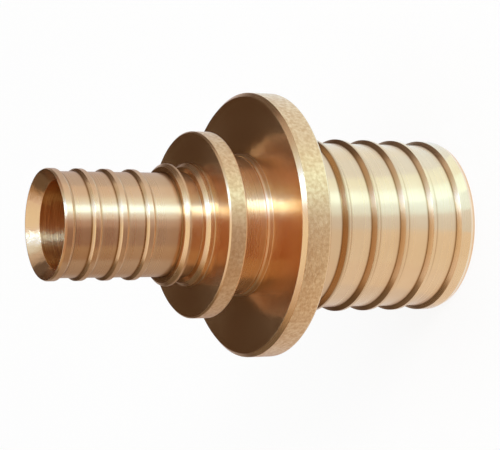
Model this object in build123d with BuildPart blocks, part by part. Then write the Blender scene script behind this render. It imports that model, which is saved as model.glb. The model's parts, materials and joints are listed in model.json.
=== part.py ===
from build123d import *
import math
import os

# Reducing coupling for plastic pipe held by axial compression sleeves.
# One forged and turned body: a wide ribbed tail, a collar, a short hub, a smaller collar
# and a narrow ribbed tail, bored right through.
# Millimetres, +Z along the bore. The part stands on the end face of its wide tail at Z = 0.

# Wide tail, for 40 x 5.5 mm pipe
wide_tail_length = 37.3        # end face to the back of the wide collar
wide_crest_d = 34.0
wide_rib_height = 0.85
wide_rib_crest = 0.7           # flat along the top of one rib
wide_rib_flank = 0.62          # axial run of one sloping side
wide_rib_pitch = 6.4
wide_first_rib = 9.45          # end face to the middle of the first rib
wide_rib_count = 4
wide_end_band = 3.4            # end face to the end of the full-diameter band
wide_lead_length = 1.1         # taper that leads the pipe on to the band
wide_lead_depth = 0.5

# Wide collar, the stop for the wide sleeve
wide_collar_d = 51.0
wide_collar_length = 5.8
wide_collar_chamfer = 0.75
wide_boss_step = 0.65          # how far the boss stands out from the hub
wide_boss_height = 1.15
wide_boss_chamfer = 0.3

# Hub between the collars
hub_d = 26.2
hub_length = 7.35              # front of the wide collar to the back of the narrow collar

# Narrow collar, the stop for the narrow sleeve
narrow_collar_d = 35.6
narrow_collar_length = 3.8
narrow_collar_chamfer = 0.3
narrow_boss_step = 1.86        # how far the boss stands out from the plain narrow tail
narrow_boss_height = 1.6
narrow_boss_chamfer = 0.7

# Turned ring in front of the narrow collar
ring_step = 1.76               # how far the ring stands out from the plain narrow tail
ring_width = 1.15
ring_chamfer = 0.65
ring_groove = 3.05             # gap between the boss and the ring

# Narrow tail, for 25 x 3.5 mm pipe
narrow_tail_length = 29.15     # front of the narrow collar to the end face
narrow_crest_d = 20.8
narrow_rib_height = 0.56
narrow_rib_crest = 0.96
narrow_rib_flank = 0.48
narrow_rib_pitch = 5.3
narrow_first_rib = 6.4         # end face to the middle of the first rib
narrow_rib_count = 3
narrow_end_band = 1.6
narrow_lead_length = 0.4
narrow_lead_depth = 0.2

# Waterway, bored from both ends
wide_wall = 2.45               # under the plain lands between the ribs
wide_lip = 0.5                 # flat left on the end face, outside the countersink
wide_countersink_depth = 2.6
narrow_wall = 1.64
narrow_lip = 0.15
narrow_countersink_depth = 2.2
bore_cone_start = 1.2          # past the back of the wide collar
bore_cone_angle = 45.0         # between the cone's wall and the axis

# Forged corners
root_chamfer = 0.6             # behind each collar, where it meets the tail or the hub
back_edge_chamfer = 0.35       # outer edge at the back of each collar

# Heights and diameters worked out from the sizes above
wide_collar_back = wide_tail_length
wide_collar_front = wide_collar_back + wide_collar_length
wide_boss_front = wide_collar_front + wide_boss_height
narrow_collar_back = wide_collar_front + hub_length
narrow_collar_front = narrow_collar_back + narrow_collar_length
narrow_boss_front = narrow_collar_front + narrow_boss_height
ring_back = narrow_boss_front + ring_groove
ring_front = ring_back + ring_width
narrow_end = narrow_collar_front + narrow_tail_length

wide_land_d = wide_crest_d - 2 * wide_rib_height
narrow_land_d = narrow_crest_d - 2 * narrow_rib_height
wide_boss_d = hub_d + 2 * wide_boss_step
narrow_boss_d = narrow_land_d + 2 * narrow_boss_step
ring_d = narrow_land_d + 2 * ring_step

wide_bore_d = wide_land_d - 2 * wide_wall
narrow_bore_d = narrow_land_d - 2 * narrow_wall
wide_countersink_d = wide_crest_d - 2 * (wide_lead_depth + wide_lip)
narrow_countersink_d = narrow_crest_d - 2 * (narrow_lead_depth + narrow_lip)
cone_low = wide_collar_back + bore_cone_start
cone_high = cone_low + (wide_bore_d - narrow_bore_d) / 2 / math.tan(math.radians(bore_cone_angle))


def disc_section(diameter, low, high):
    """Corners of the half-section of a plain turned length."""
    return [(0, low), (diameter / 2, low), (diameter / 2, high), (0, high)]


def rib_section(middle, land_d, crest_d, crest, flank):
    """Corners of the half-section of one rib with two sloping sides."""
    half = crest / 2
    return [
        (land_d / 2, middle - half - flank),
        (crest_d / 2, middle - half),
        (crest_d / 2, middle + half),
        (land_d / 2, middle + half + flank),
    ]


def end_band_section(end, inward, land_d, crest_d, band, flank, lead_length, lead_depth):
    """Corners of the half-section of the full-diameter band and its lead-in at an end face."""
    return [
        (land_d / 2, end),
        (crest_d / 2 - lead_depth, end),
        (crest_d / 2, end + inward * lead_length),
        (crest_d / 2, end + inward * band),
        (land_d / 2, end + inward * (band + flank)),
    ]


def circles_at(part, diameter, height):
    """Round edges of one diameter at one height."""
    round_edges = part.edges().filter_by(GeomType.CIRCLE)
    level = round_edges.filter_by(lambda edge: math.isclose(edge.center().Z, height, abs_tol=1e-4))
    return level.filter_by(lambda edge: math.isclose(2 * edge.radius, diameter, abs_tol=1e-4))


plain_lengths = [
    (wide_land_d, 0, wide_collar_back),
    (wide_collar_d, wide_collar_back, wide_collar_front),
    (wide_boss_d, wide_collar_front, wide_boss_front),
    (hub_d, wide_collar_front, narrow_collar_back),
    (narrow_collar_d, narrow_collar_back, narrow_collar_front),
    (narrow_boss_d, narrow_collar_front, narrow_boss_front),
    (ring_d, ring_back, ring_front),
    (narrow_land_d, narrow_collar_front, narrow_end),
]

wide_ribs = [
    rib_section(
        wide_first_rib + i * wide_rib_pitch,
        wide_land_d,
        wide_crest_d,
        wide_rib_crest,
        wide_rib_flank,
    )
    for i in range(wide_rib_count)
]
narrow_ribs = [
    rib_section(
        narrow_end - narrow_first_rib - i * narrow_rib_pitch,
        narrow_land_d,
        narrow_crest_d,
        narrow_rib_crest,
        narrow_rib_flank,
    )
    for i in range(narrow_rib_count)
]
end_bands = [
    end_band_section(
        0, 1, wide_land_d, wide_crest_d, wide_end_band, wide_rib_flank, wide_lead_length, wide_lead_depth
    ),
    end_band_section(
        narrow_end,
        -1,
        narrow_land_d,
        narrow_crest_d,
        narrow_end_band,
        narrow_rib_flank,
        narrow_lead_length,
        narrow_lead_depth,
    ),
]

# Coupling body: gunmetal, forged, then turned on the tails, the collar faces and the hub
with BuildPart() as coupling_body:
    # Outside
    with BuildSketch(Plane.XZ) as outside:
        for diameter, low, high in plain_lengths:
            with BuildLine():
                Polyline(*disc_section(diameter, low, high), close=True)
            make_face()
        for corners in [*wide_ribs, *narrow_ribs, *end_bands]:
            with BuildLine():
                Polyline(*corners, close=True)
            make_face()
    revolve(axis=Axis.Z)

    chamfer(circles_at(coupling_body, wide_collar_d, wide_collar_front), wide_collar_chamfer)
    chamfer(circles_at(coupling_body, narrow_collar_d, narrow_collar_front), narrow_collar_chamfer)
    chamfer(circles_at(coupling_body, wide_boss_d, wide_boss_front), wide_boss_chamfer)
    chamfer(circles_at(coupling_body, narrow_boss_d, narrow_boss_front), narrow_boss_chamfer)
    chamfer(circles_at(coupling_body, ring_d, ring_front), ring_chamfer)
    chamfer(circles_at(coupling_body, wide_collar_d, wide_collar_back), back_edge_chamfer)
    chamfer(circles_at(coupling_body, narrow_collar_d, narrow_collar_back), back_edge_chamfer)
    chamfer(circles_at(coupling_body, wide_land_d, wide_collar_back), root_chamfer)
    chamfer(circles_at(coupling_body, hub_d, narrow_collar_back), root_chamfer)

    # Waterway: countersink, wide bore, cone, narrow bore, countersink
    with BuildSketch(Plane.XZ) as waterway:
        with BuildLine():
            Polyline(
                (0, 0),
                (wide_countersink_d / 2, 0),
                (wide_bore_d / 2, wide_countersink_depth),
                (wide_bore_d / 2, cone_low),
                (narrow_bore_d / 2, cone_high),
                (narrow_bore_d / 2, narrow_end - narrow_countersink_depth),
                (narrow_countersink_d / 2, narrow_end),
                (0, narrow_end),
                close=True,
            )
        make_face()
    revolve(axis=Axis.Z, mode=Mode.SUBTRACT)
coupling_body.part.label = "coupling_body"

os.makedirs("parts", exist_ok=True)
export_step(coupling_body.part, "parts/coupling_body.step")
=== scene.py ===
import json
import math

import bpy
from mathutils import Matrix, Vector


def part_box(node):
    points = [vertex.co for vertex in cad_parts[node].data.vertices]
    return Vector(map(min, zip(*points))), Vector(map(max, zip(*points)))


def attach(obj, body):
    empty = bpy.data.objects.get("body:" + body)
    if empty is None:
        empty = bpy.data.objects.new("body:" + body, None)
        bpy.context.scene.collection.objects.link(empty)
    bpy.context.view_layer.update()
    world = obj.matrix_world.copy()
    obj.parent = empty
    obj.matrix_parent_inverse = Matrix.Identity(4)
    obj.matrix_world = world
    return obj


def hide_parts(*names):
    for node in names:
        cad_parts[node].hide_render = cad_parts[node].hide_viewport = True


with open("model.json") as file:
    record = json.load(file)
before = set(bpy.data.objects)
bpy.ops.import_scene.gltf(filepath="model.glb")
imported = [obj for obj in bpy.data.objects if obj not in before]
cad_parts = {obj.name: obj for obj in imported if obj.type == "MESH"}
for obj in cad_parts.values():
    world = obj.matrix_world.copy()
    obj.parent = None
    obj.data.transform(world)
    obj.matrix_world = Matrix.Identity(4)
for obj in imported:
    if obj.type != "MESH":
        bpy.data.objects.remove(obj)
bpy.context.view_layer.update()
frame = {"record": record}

# Coupling body
# One gunmetal forging, turned all over except the rims of its two collars and bored right through.
# Plastic pipe is pushed over each ribbed tail, and a sleeve is pressed along it up to the collar.
# The skin is one closed section, lathed round the waterway.

mm = 0.001
mounts = {mount["name"]: mount for mount in frame["record"]["mounts"]}
body_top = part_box("coupling_body")[1]

# Wide tail
wide_crest_r = mounts["wide_tail"]["dims"]["r_mm"] * mm
wide_rib_height = 0.85 * mm
wide_land_r = wide_crest_r - wide_rib_height
wide_rib_crest = 0.7 * mm
wide_rib_flank = 0.62 * mm
wide_rib_pitch = 6.4 * mm
wide_first_rib = 9.45 * mm     # end face to the middle of the rib
wide_rib_count = 4
wide_end_band = 3.4 * mm
wide_lead_length = 1.1 * mm
wide_lead_depth = 0.5 * mm

# Narrow tail
narrow_end = body_top.z
narrow_crest_r = mounts["narrow_tail"]["dims"]["r_mm"] * mm
narrow_rib_height = 0.56 * mm
narrow_land_r = narrow_crest_r - narrow_rib_height
narrow_rib_crest = 0.96 * mm
narrow_rib_flank = 0.48 * mm
narrow_rib_pitch = 5.3 * mm
narrow_first_rib = 6.4 * mm    # end face to the middle of the rib
narrow_rib_count = 3
narrow_end_band = 1.6 * mm
narrow_lead_length = 0.4 * mm
narrow_lead_depth = 0.2 * mm

# Hub and collars
hub_r = 13.1 * mm
wide_collar_r = body_top.x
wide_collar_back = mounts["wide_sleeve_stop"]["pos_m"][2]
wide_collar_front = wide_collar_back + 5.8 * mm
wide_collar_chamfer = 0.75 * mm
narrow_collar_r = 17.8 * mm
narrow_collar_front = mounts["narrow_sleeve_stop"]["pos_m"][2]
narrow_collar_back = narrow_collar_front - 3.8 * mm
narrow_collar_chamfer = 0.3 * mm
root_break = 0.6 * mm
back_edge_break = 0.35 * mm

# Bosses and ring, which stand out from the hub and from the plain narrow tail
wide_boss_r = hub_r + 0.65 * mm
wide_boss_front = wide_collar_front + 1.15 * mm
wide_boss_chamfer = 0.3 * mm
narrow_boss_r = narrow_land_r + 1.86 * mm
narrow_boss_front = narrow_collar_front + 1.6 * mm
narrow_boss_chamfer = 0.7 * mm
ring_r = narrow_land_r + 1.76 * mm
ring_back = narrow_boss_front + 3.05 * mm
ring_front = ring_back + 1.15 * mm
ring_chamfer = 0.65 * mm

# Waterway
wide_bore_r = mounts["wide_waterway"]["dims"]["r_mm"] * mm
wide_lip = 0.5 * mm
wide_mouth_r = wide_crest_r - wide_lead_depth - wide_lip
wide_countersink_depth = 2.6 * mm
narrow_bore_r = mounts["narrow_waterway"]["dims"]["r_mm"] * mm
narrow_lip = 0.15 * mm
narrow_mouth_r = narrow_crest_r - narrow_lead_depth - narrow_lip
narrow_countersink_depth = 2.2 * mm
bore_cone_low = wide_collar_back + 1.2 * mm
bore_cone_high = bore_cone_low + wide_bore_r - narrow_bore_r

# Rounds of the corners
turned_edge = 0.07 * mm
turned_root = 0.16 * mm
forged_edge = 0.3 * mm
bored_edge = 0.12 * mm

# Shares of painted shade, a brown in the roots and on the rib flanks, from 0 for none to 1 for all
# brown
rib_back_painted_shade = 0.4         # in the root on the wide-end side of each rib
boss_painted_shade = 0.3             # in the roots of the narrow boss and behind the ring
last_rib_painted_shade = 0.8         # on the crest of the rib next to the wide collar


def corner(radius, height, edge_round, shade_share=None):
    """One corner of the section. Its share of painted shade, unless given, is 1 in a turned root, else
    0.
    """
    if shade_share is None:
        shade_share = 1.0 if edge_round == turned_root else 0.0
    return Vector((radius, height)), edge_round, shade_share


def rib_corners(middle, land_r, crest_r, crest, flank, crest_painted_shade=0.0):
    """Corners of one rib, from its wide-end side to its narrow-end side.

    The edge of the crest on the narrow-end side can have painted shade of its own.
    """
    half = crest / 2
    return [
        corner(land_r, middle - half - flank, turned_root, rib_back_painted_shade),
        corner(crest_r, middle - half, turned_edge),
        corner(crest_r, middle + half, turned_edge, crest_painted_shade),
        corner(land_r, middle + half + flank, turned_root),
    ]


def outside_corners():
    """Corners of the outside, from the wide end to the narrow end."""
    corners = [
        corner(wide_crest_r - wide_lead_depth, 0, turned_edge),
        corner(wide_crest_r, wide_lead_length, forged_edge),
        corner(wide_crest_r, wide_end_band, turned_edge),
        corner(wide_land_r, wide_end_band + wide_rib_flank, turned_root),
    ]
    for i in range(wide_rib_count):
        middle = wide_first_rib + i * wide_rib_pitch
        # Painted shade on the crest edge grows towards the rib next to the wide collar
        shade_share = last_rib_painted_shade * ((i + 1) / wide_rib_count) ** 2
        corners += rib_corners(
            middle, wide_land_r, wide_crest_r, wide_rib_crest, wide_rib_flank, shade_share
        )
    corners += [
        corner(wide_land_r, wide_collar_back - root_break, forged_edge),
        corner(wide_land_r + root_break, wide_collar_back, forged_edge),
        corner(wide_collar_r - back_edge_break, wide_collar_back, forged_edge),
        corner(wide_collar_r, wide_collar_back + back_edge_break, forged_edge),
        corner(wide_collar_r, wide_collar_front - wide_collar_chamfer, turned_edge),
        corner(wide_collar_r - wide_collar_chamfer, wide_collar_front, turned_edge),
        corner(wide_boss_r, wide_collar_front, turned_root, shade_share=0.0),
        corner(wide_boss_r, wide_boss_front - wide_boss_chamfer, turned_edge),
        corner(wide_boss_r - wide_boss_chamfer, wide_boss_front, turned_edge),
        corner(hub_r, wide_boss_front, turned_root, shade_share=0.0),
        corner(hub_r, narrow_collar_back - root_break, forged_edge),
        corner(hub_r + root_break, narrow_collar_back, forged_edge),
        corner(narrow_collar_r - back_edge_break, narrow_collar_back, forged_edge),
        corner(narrow_collar_r, narrow_collar_back + back_edge_break, forged_edge),
        corner(narrow_collar_r, narrow_collar_front - narrow_collar_chamfer, turned_edge),
        corner(narrow_collar_r - narrow_collar_chamfer, narrow_collar_front, turned_edge),
        corner(narrow_boss_r, narrow_collar_front, turned_root, boss_painted_shade),
        corner(narrow_boss_r, narrow_boss_front - narrow_boss_chamfer, turned_edge),
        corner(narrow_boss_r - narrow_boss_chamfer, narrow_boss_front, turned_edge),
        corner(narrow_land_r, narrow_boss_front, turned_root, boss_painted_shade),
        corner(narrow_land_r, ring_back, turned_root, boss_painted_shade),
        corner(ring_r, ring_back, turned_edge),
        corner(ring_r, ring_front - ring_chamfer, turned_edge),
        corner(ring_r - ring_chamfer, ring_front, turned_edge),
        corner(narrow_land_r, ring_front, turned_root),
    ]
    for i in reversed(range(narrow_rib_count)):
        middle = narrow_end - narrow_first_rib - i * narrow_rib_pitch
        corners += rib_corners(
            middle, narrow_land_r, narrow_crest_r, narrow_rib_crest, narrow_rib_flank
        )
    corners += [
        corner(narrow_land_r, narrow_end - narrow_end_band - narrow_rib_flank, turned_root),
        corner(narrow_crest_r, narrow_end - narrow_end_band, turned_edge),
        corner(narrow_crest_r, narrow_end - narrow_lead_length, turned_edge),
        corner(narrow_crest_r - narrow_lead_depth, narrow_end, turned_edge),
    ]
    return corners


def waterway_corners():
    """Corners of the waterway, from the narrow end back to the wide end."""
    return [
        corner(narrow_mouth_r, narrow_end, turned_edge),
        corner(narrow_bore_r, narrow_end - narrow_countersink_depth, bored_edge),
        corner(narrow_bore_r, bore_cone_high, bored_edge),
        corner(wide_bore_r, bore_cone_low, bored_edge),
        corner(wide_bore_r, wide_countersink_depth, bored_edge),
        corner(wide_mouth_r, 0, turned_edge),
    ]


def arc_points(centre, start, end, turn):
    """Points along the arc round the centre, from start to end, about 34 degrees apart."""
    arc_step = math.radians(34)
    steps = max(2, round(turn / arc_step))
    arm = start - centre
    side = 1 if arm.cross(end - centre) > 0 else -1
    points = []
    for k in range(steps + 1):
        angle = side * turn * k / steps
        turned_arm = Vector((
            arm.x * math.cos(angle) - arm.y * math.sin(angle),
            arm.x * math.sin(angle) + arm.y * math.cos(angle),
        ))
        points.append(centre + turned_arm)
    return points


def soften(corners):
    """The closed section with each corner as a small arc, and a point close to both of its ends.

    Each point comes with its share of painted shade: all of its corner's on the arc, a mix of two
    corners' up the short slope beside a turned root, and none further along the plain land there.
    """
    longest_share = 0.42       # how much of a side an arc may take up
    close = 0.02 * mm          # added to half the arc's reach, from its end to the point close to it
    close_limit = 1.15         # how far that point may lie from the corner, as a share of the room
    short_slope = 1.5 * mm
    own_share = 0.4            # of the mix on a short slope, the rest is the other corner's
    shade_runout = 0.28 * mm        # how far the painted shade runs out along a plain land
    points = []
    for i, (here, edge_round, shade_share) in enumerate(corners):
        before, _, before_painted_shade = corners[i - 1]
        after, _, after_painted_shade = corners[(i + 1) % len(corners)]
        to_before = (before - here).normalized()
        to_after = (after - here).normalized()
        turn = math.pi - to_before.angle(to_after)
        room = longest_share * min((before - here).length, (after - here).length)
        reach = min(edge_round * math.tan(turn / 2), room)
        arc_radius = reach / math.tan(turn / 2)
        centre = here + (to_before + to_after).normalized() * arc_radius / math.cos(turn / 2)
        start = here + to_before * reach
        end = here + to_after * reach

        beside = []
        for arc_end, way, other, other_painted_shade in [
            (start, to_before, before, before_painted_shade),
            (end, to_after, after, after_painted_shade),
        ]:
            length = (other - here).length
            gap = min(reach / 2 + close, room * close_limit - reach)
            share = shade_share
            if edge_round == turned_root and length < short_slope:
                share = shade_share * own_share + other_painted_shade * (1 - own_share)
            elif edge_round == turned_root:
                gap = max(gap, min(shade_runout, longest_share * length - reach))
                share = 0.0
            beside.append((arc_end + way * gap, share))

        points.append(beside[0])
        points += [(point, shade_share) for point in arc_points(centre, start, end, turn)]
        points.append(beside[1])
    return points


def on_forged_rim(p):
    """Whether a point of the section lies on the rim of a collar."""
    margin = 0.02 * mm
    on_wide_rim = p.x > wide_collar_r - margin
    on_narrow_rim = p.x > narrow_collar_r - margin and p.y > narrow_collar_back
    return on_wide_rim or on_narrow_rim


def in_waterway(p):
    """Whether a point lies in the bores, short of the outer edge of either countersink."""
    wall_margin = 0.3 * mm
    bore_margin = 0.01 * mm
    cone_margin = 0.1 * mm
    well_inside = p.x < narrow_land_r - wall_margin
    in_wide_bore = p.x < wide_bore_r + bore_margin and p.y < bore_cone_low + cone_margin
    return well_inside or in_wide_bore


def in_narrow_mouth(p):
    """Whether a point lies on the countersink at the narrow end."""
    margin = 0.01 * mm
    return p.x < narrow_mouth_r + margin and p.y > narrow_end - narrow_countersink_depth - margin


# The lathe sweeps the section along a circle of this radius, so the section is drawn from there
lathe_path_r = 12 * mm
section_points = soften(outside_corners() + waterway_corners())
section_mesh = bpy.data.meshes.new("coupling_section")
section_mesh.from_pydata(
    [(p.x - lathe_path_r, -p.y, 0) for p, _ in section_points],
    [(i, (i + 1) % len(section_points)) for i in range(len(section_points))],
    [],
)
for name, shares in {
    "forged_skin": [float(on_forged_rim(p)) for p, _ in section_points],
    "bored_skin": [float(in_waterway(p)) for p, _ in section_points],
    "countersunk_skin": [float(in_narrow_mouth(p)) for p, _ in section_points],
    # A share of painted shade at each point: brown in the roots and on the rib flanks for shade and
    # dark reflections
    "root_painted_shade": [shade_share for _, shade_share in section_points],
}.items():
    section_mesh.attributes.new(name, "FLOAT", "POINT").data.foreach_set("value", shares)


def add_node(tree, kind, **settings):
    """One new node, with its properties set by name."""
    node = tree.nodes.new(kind)
    for name, value in settings.items():
        setattr(node, name, value)
    return node


def plug(tree, value, socket):
    """Joins an output to a socket, or writes a plain value on it."""
    if isinstance(value, bpy.types.NodeSocket):
        tree.links.new(value, socket)
    else:
        socket.default_value = value


def maths(tree, operation, *values):
    """The output of one Math node."""
    node = add_node(tree, "ShaderNodeMath", operation=operation)
    for i, value in enumerate(values):
        plug(tree, value, node.inputs[i])
    return node.outputs[0]


def new_group(name, kind, inputs, outputs):
    """An empty node group with named sockets, and its input and output nodes."""
    tree = bpy.data.node_groups.new(name, kind)
    for in_out, sockets in (("INPUT", inputs), ("OUTPUT", outputs)):
        for socket, socket_kind in sockets.items():
            tree.interface.new_socket(socket, in_out=in_out, socket_type="NodeSocket" + socket_kind)
    return tree, add_node(tree, "NodeGroupInput"), add_node(tree, "NodeGroupOutput")


def named_mask(tree, name):
    """The value of one named skin of the section."""
    node = add_node(tree, "GeometryNodeInputNamedAttribute", data_type="FLOAT")
    node.inputs["Name"].default_value = name
    return node.outputs["Attribute"]


def lathe_tree():
    """Revolves a closed section round Z, roughens the forged skin and gives each finish its faces."""
    tree, given, made = new_group(
        "lathe",
        "GeometryNodeTree",
        {
            "Geometry": "Geometry",
            "Facets Round": "Int",
            "Path Radius": "Float",
            "Skin Depth": "Float",
            "Skin Grain": "Float",
            "Skin Seed": "Float",
            "Turned Finish": "Material",
            "Forged Finish": "Material",
            "Bored Finish": "Material",
            "Faced Finish": "Material",
            "Countersunk Finish": "Material",
        },
        {"Geometry": "Geometry"},
    )
    section = add_node(tree, "GeometryNodeMeshToCurve")
    plug(tree, given.outputs["Geometry"], section.inputs["Mesh"])
    path = add_node(tree, "GeometryNodeCurvePrimitiveCircle", mode="RADIUS")
    plug(tree, given.outputs["Facets Round"], path.inputs["Resolution"])
    plug(tree, given.outputs["Path Radius"], path.inputs["Radius"])
    sweep = add_node(tree, "GeometryNodeCurveToMesh")
    plug(tree, path.outputs["Curve"], sweep.inputs["Curve"])
    plug(tree, section.outputs["Curve"], sweep.inputs["Profile Curve"])

    # Sandy swell of the forged skin, outwards and inwards along the normal
    forged = named_mask(tree, "forged_skin")
    place = add_node(tree, "GeometryNodeInputPosition")
    grain = add_node(tree, "ShaderNodeTexNoise", noise_dimensions="4D")
    plug(tree, place.outputs["Position"], grain.inputs["Vector"])
    plug(tree, given.outputs["Skin Seed"], grain.inputs["W"])
    plug(tree, given.outputs["Skin Grain"], grain.inputs["Scale"])
    grain.inputs["Detail"].default_value = 3.0
    swell = maths(tree, "SUBTRACT", grain.outputs["Fac"], 0.5)
    depth = maths(tree, "MULTIPLY", swell, given.outputs["Skin Depth"])
    depth = maths(tree, "MULTIPLY", depth, forged)
    normal = add_node(tree, "GeometryNodeInputNormal")
    push = add_node(tree, "ShaderNodeVectorMath", operation="SCALE")
    plug(tree, normal.outputs["Normal"], push.inputs["Vector"])
    plug(tree, depth, push.inputs["Scale"])
    uneven = add_node(tree, "GeometryNodeSetPosition")
    plug(tree, sweep.outputs["Mesh"], uneven.inputs["Geometry"])
    plug(tree, push.outputs["Vector"], uneven.inputs["Offset"])

    smooth = add_node(tree, "GeometryNodeSetShadeSmooth")
    plug(tree, uneven.outputs["Geometry"], smooth.inputs["Geometry"])
    real = add_node(tree, "GeometryNodeRealizeInstances")
    plug(tree, smooth.outputs["Geometry"], real.inputs["Geometry"])

    # Every face is turned, unless one of the masks below is over its least value there
    skin_least = 0.6
    facing_least = 0.9         # of the normal along Z, so only faces nearly square to the axis
    aspect = add_node(tree, "ShaderNodeSeparateXYZ")
    plug(tree, normal.outputs["Normal"], aspect.inputs["Vector"])
    square_on = maths(tree, "ABSOLUTE", aspect.outputs["Z"])
    finish = add_node(tree, "GeometryNodeSetMaterial")
    plug(tree, real.outputs["Geometry"], finish.inputs["Geometry"])
    plug(tree, given.outputs["Turned Finish"], finish.inputs["Material"])
    for mask, least, name in [
        (forged, skin_least, "Forged Finish"),
        (named_mask(tree, "bored_skin"), skin_least, "Bored Finish"),
        (square_on, facing_least, "Faced Finish"),
        (named_mask(tree, "countersunk_skin"), skin_least, "Countersunk Finish"),
    ]:
        some = add_node(tree, "GeometryNodeSetMaterial")
        plug(tree, finish.outputs["Geometry"], some.inputs["Geometry"])
        plug(tree, maths(tree, "GREATER_THAN", mask, least), some.inputs["Selection"])
        plug(tree, given.outputs[name], some.inputs["Material"])
        finish = some
    plug(tree, finish.outputs["Geometry"], made.inputs["Geometry"])
    return tree


# Finishes of the body
# Turned gunmetal is satin with fine rings left by the tool, which spread its highlights along the axis.
# The forged rims are matt and sandy, and the waterway is bored with a coarser feed.


def turning_marks():
    """Rings left by the tool: a fine height and a slower tone, which drift a little round the part."""
    band_share = 0.12          # how fast the tone changes, next to the height
    tree, given, made = new_group(
        "turning_marks",
        "ShaderNodeTree",
        {"Feed": "Float", "Drift": "Float"},
        {"Height": "Float", "Band": "Float"},
    )
    coords = add_node(tree, "ShaderNodeTexCoord")
    parts = add_node(tree, "ShaderNodeSeparateXYZ")
    plug(tree, coords.outputs["Object"], parts.inputs["Vector"])
    x, y, z = parts.outputs
    squares = maths(tree, "ADD", maths(tree, "MULTIPLY", x, x), maths(tree, "MULTIPLY", y, y))
    radius = maths(tree, "SQRT", squares)
    across = maths(tree, "DIVIDE", x, radius)
    along = maths(tree, "DIVIDE", y, radius)
    spot = add_node(tree, "ShaderNodeCombineXYZ")
    plug(tree, maths(tree, "MULTIPLY", radius, given.outputs["Feed"]), spot.inputs["X"])
    plug(tree, maths(tree, "MULTIPLY", z, given.outputs["Feed"]), spot.inputs["Y"])
    plug(tree, maths(tree, "MULTIPLY", across, given.outputs["Drift"]), spot.inputs["Z"])
    rings = add_node(tree, "ShaderNodeTexNoise", noise_dimensions="4D")
    plug(tree, spot.outputs["Vector"], rings.inputs["Vector"])
    plug(tree, maths(tree, "MULTIPLY", along, given.outputs["Drift"]), rings.inputs["W"])
    rings.inputs["Scale"].default_value = 1.0
    rings.inputs["Detail"].default_value = 2.0
    slow = add_node(tree, "ShaderNodeVectorMath", operation="SCALE")
    plug(tree, spot.outputs["Vector"], slow.inputs["Vector"])
    slow.inputs["Scale"].default_value = band_share
    bands = add_node(tree, "ShaderNodeTexNoise", noise_dimensions="3D")
    plug(tree, slow.outputs["Vector"], bands.inputs["Vector"])
    bands.inputs["Scale"].default_value = 1.0
    plug(tree, rings.outputs["Fac"], made.inputs["Height"])
    plug(tree, bands.outputs["Fac"], made.inputs["Band"])
    return tree


def ranged(tree, value, low, high, start=0.0, end=1.0):
    """A value spread from low to high, as it runs from start to end."""
    spread = add_node(tree, "ShaderNodeMapRange")
    plug(tree, value, spread.inputs["Value"])
    spread.inputs["From Min"].default_value = start
    spread.inputs["From Max"].default_value = end
    spread.inputs["To Min"].default_value = low
    spread.inputs["To Max"].default_value = high
    return spread.outputs["Result"]


def blotches():
    """Slow, uneven change of tone over the metal, from handling and a light film of oxide."""
    tree, given, made = new_group("blotches", "ShaderNodeTree", {"Scale": "Float"}, {"Mask": "Float"})
    coords = add_node(tree, "ShaderNodeTexCoord")
    cloud = add_node(tree, "ShaderNodeTexNoise", noise_dimensions="3D")
    plug(tree, coords.outputs["Object"], cloud.inputs["Vector"])
    plug(tree, given.outputs["Scale"], cloud.inputs["Scale"])
    cloud.inputs["Detail"].default_value = 4.0
    mask = ranged(tree, cloud.outputs["Fac"], 0.0, 1.0, start=0.35, end=0.65)
    plug(tree, mask, made.inputs["Mask"])
    return tree


def two_tone(tree, mask, low, high):
    """A colour that runs from low to high with the mask."""
    mix = add_node(tree, "ShaderNodeMix", data_type="RGBA")
    plug(tree, mask, mix.inputs["Factor"])
    plug(tree, low, mix.inputs["A"])
    plug(tree, high, mix.inputs["B"])
    return mix.outputs["Result"]


def paint_root_shade():
    """The unshaded colour, turned to brown by painted shade in the roots of the section."""
    tree, given, made = new_group(
        "paint_root_shade", "ShaderNodeTree", {"Clean": "Color", "Brown": "Color"}, {"Color": "Color"}
    )
    shade_share = add_node(tree, "ShaderNodeAttribute", attribute_name="root_painted_shade")
    colour = two_tone(tree, shade_share.outputs["Fac"], given.outputs["Clean"], given.outputs["Brown"])
    plug(tree, colour, made.inputs["Color"])
    return tree


marks_group = turning_marks()
blotch_group = blotches()
root_shade_group = paint_root_shade()


def srgb(red, green, blue):
    """A colour as seen on screen, 0 to 255, as Blender's linear RGBA."""
    shares = [c / 255 for c in (red, green, blue)]
    return [c / 12.92 if c <= 0.04045 else ((c + 0.055) / 1.055) ** 2.4 for c in shares] + [1]


def place_group(tree, group, **values):
    """One group node with its inputs set by name."""
    node = add_node(tree, "ShaderNodeGroup", node_tree=group)
    for name, value in values.items():
        plug(tree, value, node.inputs[name])
    return node


def bumped(tree, height, depth, before=None):
    """The normal of a height, depth in metres, over an earlier normal."""
    bump = add_node(tree, "ShaderNodeBump")
    bump.inputs["Strength"].default_value = 1.0
    bump.inputs["Distance"].default_value = depth
    plug(tree, height, bump.inputs["Height"])
    if before is not None:
        plug(tree, before, bump.inputs["Normal"])
    return bump.outputs["Normal"]


def new_material(name):
    """A new material, its node tree and its shader."""
    material = bpy.data.materials.new(name)
    material.use_nodes = True
    return material, material.node_tree, material.node_tree.nodes["Principled BSDF"]


def new_gunmetal(name):
    """A new material of bare metal, its node tree and its shader."""
    material, tree, shader = new_material(name)
    shader.inputs["Metallic"].default_value = 1.0
    return material, tree, shader


def lay_rings(tree, shader, strength):
    """The lay of rings round the axis, which spreads a highlight across them."""
    quarter_turn = 0.25
    shader.inputs["Anisotropic"].default_value = strength
    shader.inputs["Anisotropic Rotation"].default_value = quarter_turn
    round_axis = add_node(tree, "ShaderNodeTangent", direction_type="RADIAL", axis="Z")
    plug(tree, round_axis.outputs["Tangent"], shader.inputs["Tangent"])


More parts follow.
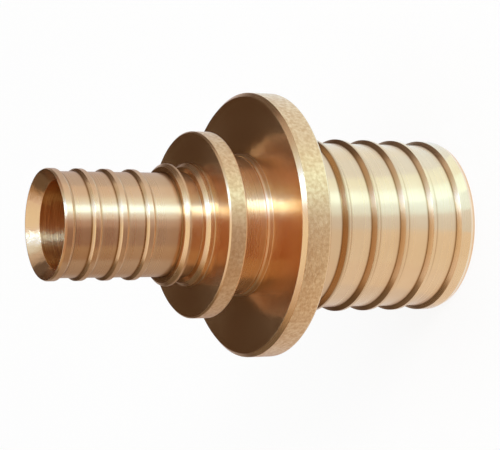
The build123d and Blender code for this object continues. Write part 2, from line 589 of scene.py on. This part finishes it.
def new_fine_cut(name, lay, smooth, rough):
    """A new gunmetal material that a fine feed has cut, its node tree, its shader and its marks.

    It has two close tones in slow blotches, and a brown of painted shade in the roots and on the rib
    flanks.
    """
    material, tree, shader = new_gunmetal(name)
    tone = place_group(tree, blotch_group, Scale=70.0)
    unshaded_tone = two_tone(tree, tone.outputs["Mask"], srgb(234, 192, 147), srgb(240, 202, 160))
    # The brown mixed in here is painted shade in the roots and on the rib flanks
    shaded_tone = place_group(tree, root_shade_group, Clean=unshaded_tone, Brown=srgb(170, 126, 82))
    plug(tree, shaded_tone.outputs["Color"], shader.inputs["Base Color"])
    lay_rings(tree, shader, lay)
    marks = place_group(tree, marks_group, Feed=9000.0, Drift=0.5)
    plug(tree, ranged(tree, marks.outputs["Band"], smooth, rough), shader.inputs["Roughness"])
    return material, tree, shader, marks


def turned_gunmetal():
    """The tails, the hub and every other length that the tool went round."""
    material, tree, shader, marks = new_fine_cut("turned_gunmetal", lay=0.8, smooth=0.24, rough=0.32)
    plug(tree, bumped(tree, marks.outputs["Height"], 0.001 * mm), shader.inputs["Normal"])
    return material


def faced_gunmetal():
    """The faces of the collars, smoother than the tails and very slightly wavy."""
    material, tree, shader, _ = new_fine_cut("faced_gunmetal", lay=0.7, smooth=0.17, rough=0.24)
    waves = place_group(tree, blotch_group, Scale=260.0)
    plug(tree, bumped(tree, waves.outputs["Mask"], 0.02 * mm), shader.inputs["Normal"])
    return material


def forged_gunmetal():
    """The rims of the collars, left as they came from the die: matt, sandy and speckled."""
    material, tree, shader = new_gunmetal("forged_gunmetal")
    tone = place_group(tree, blotch_group, Scale=1500.0)
    colour = two_tone(tree, tone.outputs["Mask"], srgb(220, 172, 122), srgb(240, 199, 150))
    plug(tree, colour, shader.inputs["Base Color"])
    plug(tree, ranged(tree, tone.outputs["Mask"], 0.40, 0.28), shader.inputs["Roughness"])
    coords = add_node(tree, "ShaderNodeTexCoord")
    sand = add_node(tree, "ShaderNodeTexNoise", noise_dimensions="3D")
    plug(tree, coords.outputs["Object"], sand.inputs["Vector"])
    sand.inputs["Scale"].default_value = 1800.0
    sand.inputs["Detail"].default_value = 5.0
    sand.inputs["Roughness"].default_value = 0.6
    plug(tree, bumped(tree, sand.outputs["Fac"], 0.06 * mm), shader.inputs["Normal"])
    return material


def bored_gunmetal(name, tones, feed, depth, roughness, lay):
    """A bored or countersunk wall: rings in two tones, cut over a slow waviness."""
    material, tree, shader = new_gunmetal(name)
    shader.inputs["Roughness"].default_value = roughness
    lay_rings(tree, shader, lay)
    marks = place_group(tree, marks_group, Feed=feed, Drift=0.8)
    plug(tree, two_tone(tree, marks.outputs["Band"], *tones), shader.inputs["Base Color"])
    waves = place_group(tree, blotch_group, Scale=350.0)
    wavy = bumped(tree, waves.outputs["Mask"], 0.04 * mm)
    plug(tree, bumped(tree, marks.outputs["Height"], depth, wavy), shader.inputs["Normal"])
    return material


def new_object(name, data):
    """One object at the origin, linked into the scene."""
    thing = bpy.data.objects.new(name, data)
    bpy.context.scene.collection.objects.link(thing)
    return thing


bore_tones = (srgb(206, 140, 80), srgb(236, 178, 112))
mouth_tones = (srgb(216, 174, 132), srgb(229, 190, 152))
lathe_inputs = {
    "Facets Round": 256,
    "Path Radius": lathe_path_r,
    "Skin Depth": 0.09 * mm,
    "Skin Grain": 420.0,
    "Skin Seed": 3.0,
    "Turned Finish": turned_gunmetal(),
    "Forged Finish": forged_gunmetal(),
    "Bored Finish": bored_gunmetal(
        "bored_gunmetal", bore_tones, feed=2500.0, depth=0.14 * mm, roughness=0.35, lay=0.95
    ),
    "Countersunk Finish": bored_gunmetal(
        "countersunk_gunmetal", mouth_tones, feed=4000.0, depth=0.01 * mm, roughness=0.22, lay=0.6
    ),
    "Faced Finish": faced_gunmetal(),
}
blank = new_object("coupling_blank", section_mesh)
lathe = blank.modifiers.new("lathe", "NODES")
lathe.node_group = lathe_tree()
for item in lathe.node_group.interface.items_tree:
    if item.in_out == "INPUT" and item.name in lathe_inputs:
        lathe[item.identifier] = lathe_inputs[item.name]
turned_blank = blank.evaluated_get(bpy.context.evaluated_depsgraph_get())
coupling = new_object("coupling_skin", bpy.data.meshes.new_from_object(turned_blank))
bpy.data.objects.remove(blank)
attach(coupling, "root")
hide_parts("coupling_body")

# Floor and surround
# A pale floor in a white studio. Both look white to the camera and in the metal, and the floor
# still takes a faint shadow of the part.


def seen_rays(tree):
    """1 for camera, glossy and transmission rays, 0 for the rest."""
    path = add_node(tree, "ShaderNodeLightPath")
    seen = maths(tree, "ADD", path.outputs["Is Camera Ray"], path.outputs["Is Glossy Ray"])
    seen = maths(tree, "ADD", seen, path.outputs["Is Transmission Ray"])
    return maths(tree, "MINIMUM", seen, 1.0)


floor_half = 3.0
floor_whiteness = 0.85         # how much of its own shade the floor gives up to plain white
floor_mesh = bpy.data.meshes.new("floor")
floor_mesh.from_pydata(
    [(x * floor_half, y * floor_half, 0) for x, y in ((-1, -1), (1, -1), (1, 1), (-1, 1))],
    [],
    [(0, 1, 2, 3)],
)
floor = new_object("floor", floor_mesh)
floor_material, floor_tree, floor_shader = new_material("pale_floor")
floor_shader.inputs["Base Color"].default_value = (0.93, 0.93, 0.92, 1)
floor_shader.inputs["Roughness"].default_value = 0.9
floor_shader.inputs["Specular IOR Level"].default_value = 0.0
floor_glow = add_node(floor_tree, "ShaderNodeEmission")
floor_glow.inputs["Color"].default_value = (1, 1, 1, 1)
floor_mix = add_node(floor_tree, "ShaderNodeMixShader")
whiteness = maths(floor_tree, "MULTIPLY", seen_rays(floor_tree), floor_whiteness)
plug(floor_tree, whiteness, floor_mix.inputs["Fac"])
plug(floor_tree, floor_shader.outputs["BSDF"], floor_mix.inputs[1])
plug(floor_tree, floor_glow.outputs["Emission"], floor_mix.inputs[2])
plug(floor_tree, floor_mix.outputs["Shader"], floor_tree.nodes["Material Output"].inputs["Surface"])
floor_mesh.materials.append(floor_material)

soft_level = 0.9               # strength of the surround as a light, where seen it is 1
world = bpy.data.worlds.new("studio")
world.use_nodes = True
bpy.context.scene.world = world
world_tree = world.node_tree
sky = world_tree.nodes["Background"]
sky.inputs["Color"].default_value = (1, 1, 1, 1)
rise = maths(world_tree, "MULTIPLY", seen_rays(world_tree), 1 - soft_level)
plug(world_tree, maths(world_tree, "ADD", rise, soft_level), sky.inputs["Strength"])

# Key softbox
# A tall strip light that stands to one side of the camera. Reflections don't see it: two of the
# cards below, key_strip and key_middle, stand in for it there.

key_azimuth = math.radians(34)
key_distance = 0.5
key_width = 0.16
key_height = 0.6
key_foot_height = 0.02
key_radiance = 5.0
key_light = bpy.data.lights.new("key_softbox", "AREA")
key_light.shape = "RECTANGLE"
key_light.size = key_width
key_light.size_y = key_height
key_light.energy = key_radiance * math.pi * key_width * key_height
key = new_object("key_softbox", key_light)
key_foot = Vector((math.sin(key_azimuth), -math.cos(key_azimuth), 0)) * key_distance
key.location = key_foot + Vector((0, 0, key_height / 2 + key_foot_height))
key.rotation_euler = (math.radians(90), 0, key_azimuth)
key.visible_glossy = False

# Cards
# Emitting screens, pale, bright and dark, that lie and stand round the part. Only reflections see
# them: bare metal shows nothing but its surroundings, and these are what it shows.


def emitting(name, light):
    """A material that only gives light, whose strength is given as red, green and blue."""
    material, tree, shader = new_material(name)
    tree.nodes.remove(shader)
    glow = add_node(tree, "ShaderNodeEmission")
    glow.inputs["Color"].default_value = (*light, 1)
    plug(tree, glow.outputs["Emission"], tree.nodes["Material Output"].inputs["Surface"])
    return material


def falling_glow(name, near_light, far_light):
    """A glow that changes with the distance from the part."""
    near_r = 0.08
    far_r = 0.15
    material = emitting(name, near_light)
    tree = material.node_tree
    coords = add_node(tree, "ShaderNodeTexCoord")
    reach = add_node(tree, "ShaderNodeVectorMath", operation="LENGTH")
    plug(tree, coords.outputs["Object"], reach.inputs[0])
    fall = ranged(tree, reach.outputs["Value"], 0.0, 1.0, near_r, far_r)
    colour = two_tone(tree, fall, (*near_light, 1), (*far_light, 1))
    plug(tree, colour, tree.nodes["Emission"].inputs["Color"])
    return material


def card(name, azimuths, near, far, material):
    """A stage piece round the body between two azimuths: near and far are (radius, height) pairs.

    Azimuths are in degrees from the front, towards +X.
    """
    facet_span = 4
    start, end = azimuths
    facets = max(2, round((end - start) / facet_span))
    corners = []
    for i in range(facets + 1):
        angle = math.radians(start + (end - start) * i / facets)
        for radius, height in (near, far):
            corners.append((radius * math.sin(angle), -radius * math.cos(angle), height))
    mesh = bpy.data.meshes.new(name)
    mesh.from_pydata(corners, [], [(2 * i, 2 * i + 2, 2 * i + 3, 2 * i + 1) for i in range(facets)])
    mesh.materials.append(material)
    piece = new_object(name, mesh)
    piece.visible_camera = False
    piece.visible_shadow = False
    piece.visible_diffuse = False


# Cards that lie on the floor: azimuths from and to, light near the part, light further out
lying_cards = {
    "low_back": (-180, -135, (0.57, 0.53, 0.57), (0.43, 0.38, 0.36)),
    "low_side": (-135, -80, (0.80, 0.84, 0.90), (0.38, 0.30, 0.25)),
    "low_front": (-80, -45, (0.88, 0.90, 0.90), (0.28, 0.15, 0.07)),
    "front": (-45, -5, (0.90, 0.95, 0.94), (0.14, 0.02, 0.01)),
    "middle": (-5, 12, (0.80, 0.97, 1.13), (0.37, 0.20, 0.15)),
    "before_key": (12, 26, (0.92, 1.34, 1.65), (0.71, 0.63, 0.54)),
    "key_foot": (26, 41, (1.16, 1.76, 2.09), (1.16, 1.76, 2.09)),
    "past_key": (41, 60, (1.09, 1.50, 1.70), (0.83, 0.87, 0.83)),
    "high_side": (60, 90, (0.94, 1.26, 1.59), (0.76, 0.69, 0.64)),
    "high_back": (90, 180, (0.98, 1.25, 1.48), (0.57, 0.55, 0.58)),
}
# Cards that stand round the part: azimuths from and to, elevations from and to, light.
# Each stands nearer than the ones before it in the list, and hides them where they overlap.
standing_cards = {
    "back_curtain": (140, 220, 0, 40, (0.08, 0.05, 0.03)),
    "left_curtain": (220, 260, 0, 52, (0.17, 0.13, 0.09)),
    "left_screen": (-100, -60, 0, 48, (0.52, 0.38, 0.24)),
    "left_gap": (-114, -93, 14, 34, (0.14, 0.06, 0.02)),
    "front_step": (-60, 12, 0, 14, (0.85, 0.70, 0.35)),
    "front_flag": (-60, 12, 14, 46, (0.36, 0.12, 0.05)),
    "key_flag": (12, 24, 25, 52, (0.52, 0.40, 0.33)),
    "key_strip": (24, 40, 0, 62, (2.30, 3.60, 4.40)),
    "right_screen": (40, 70, 0, 44, (0.50, 0.52, 0.42)),
    "key_spill": (40, 49, 14, 40, (3.6, 6.6, 8.0)),
    "key_middle": (28, 43, 24, 48, (8.5, 20.0, 50.0)),
    "right_step": (70, 110, 0, 25, (0.28, 0.16, 0.13)),
    "right_curtain": (70, 110, 25, 44, (0.52, 0.48, 0.44)),
    "corner_curtain": (110, 140, 0, 44, (0.15, 0.12, 0.10)),
    "top_silk": (-60, 12, 44, 90, (1.05, 1.10, 0.98)),
    "right_silk": (40, 84, 44, 90, (0.96, 1.18, 1.28)),
    "back_silk": (84, 220, 48, 90, (0.60, 0.60, 0.52)),
}
card_height = 0.3 * mm
card_near = 17.5 * mm
card_far = 1.5
card_step = 0.01               # each standing card is this much nearer than the one before it
foot_r = 16.8 * mm
foot_light = (1.05, 1.35, 1.75)

foot_glow = emitting("foot_glow", foot_light)
card("foot_ring", (-180, 180), (foot_r, card_height), (card_near, card_height), foot_glow)
for name, (start, end, near_light, far_light) in lying_cards.items():
    glow = falling_glow(name + "_glow", near_light, far_light)
    card(name, (start, end), (card_near, card_height), (card_far, card_height), glow)
for i, (name, (start, end, low, high, light)) in enumerate(standing_cards.items()):
    reach = card_far - i * card_step
    foot, head = [
        (reach * math.cos(math.radians(elevation)), reach * math.sin(math.radians(elevation)))
        for elevation in (low, high)
    ]
    card(name, (start, end), foot, head, emitting(name + "_glow", light))

# Camera
# It looks down on the standing coupling and is rolled a quarter turn, so that the narrow tail is
# to the left of the picture, as the photograph shows it.

look_down = math.radians(27.35)
picture_roll = math.radians(0.11)
camera_place = (0, -0.3166, 0.2048)
camera_data = bpy.data.cameras.new("camera")
camera_data.sensor_width = 36.0
camera_data.lens = 132.6
camera = new_object("camera", camera_data)
right = Vector((0, -math.sin(look_down), -math.cos(look_down)))
up = Vector((1, 0, 0))
back = Vector((0, -math.cos(look_down), math.sin(look_down)))
turn = Matrix((right, up, back)).transposed() @ Matrix.Rotation(picture_roll, 3, "Z")
camera.matrix_world = Matrix.Translation(camera_place) @ turn.to_4x4()
bpy.context.scene.camera = camera
bpy.context.scene.view_settings.view_transform = "Standard"
